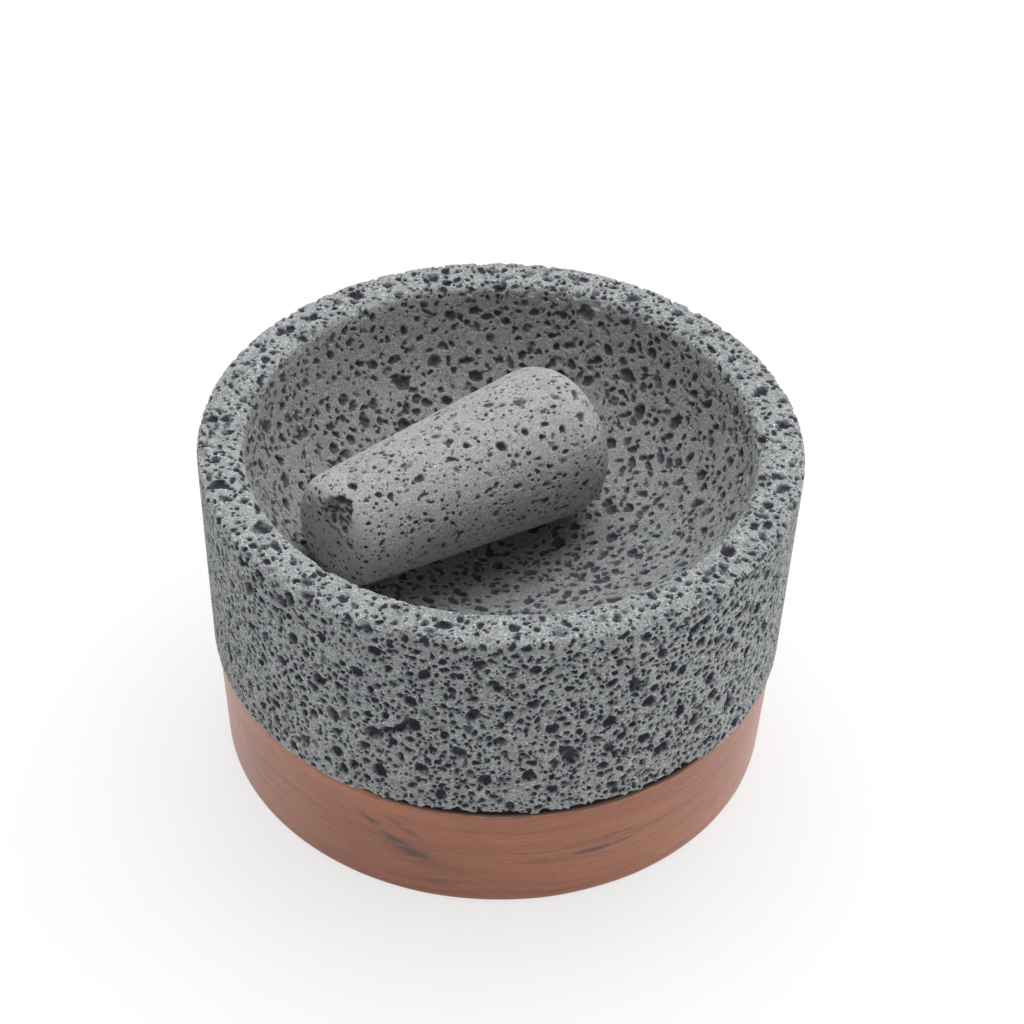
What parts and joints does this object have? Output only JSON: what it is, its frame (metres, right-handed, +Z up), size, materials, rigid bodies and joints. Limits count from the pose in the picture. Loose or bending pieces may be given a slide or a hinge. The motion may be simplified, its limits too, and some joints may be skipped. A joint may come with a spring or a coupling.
{
  "type": "molcajete",
  "caption": "Straight-walled porous basalt mortar with a round ground hollow, a tapered hand stone lying in it and a turned wooden base under it.",
  "frame": {"origin": "middle of the wooden base's underside, on the bowl's axis", "axes": "+Z up along the bowl's axis; -Y is the side that faces the viewer in the picture, +X is the viewer's right"},
  "size_m": [0.1998, 0.1998, 0.1266],
  "materials": {
    "base_wood": "oiled, satin, long grain across the front",
    "bowl_stone": "sawn and ground porous basalt, open pores",
    "hand_stone": "rubbed basalt, finer and fewer pores"
  },
  "bodies": {
    "base": {"wooden_base": "base_wood"},
    "bowl": {"stone_bowl": "bowl_stone"},
    "hand_stone": {"tejolote": "hand_stone"}
  },
  "joints": [
    {"name": "bowl_lift", "type": "slide", "parent": "base", "child": "bowl", "axis": [0, 0, 1], "range_m": [0, 0.06]},
    {"name": "tejolote_lift", "type": "slide", "parent": "bowl", "child": "hand_stone", "axis": [0, 0, 1], "range_m": [0, 0.12]}
  ]
}
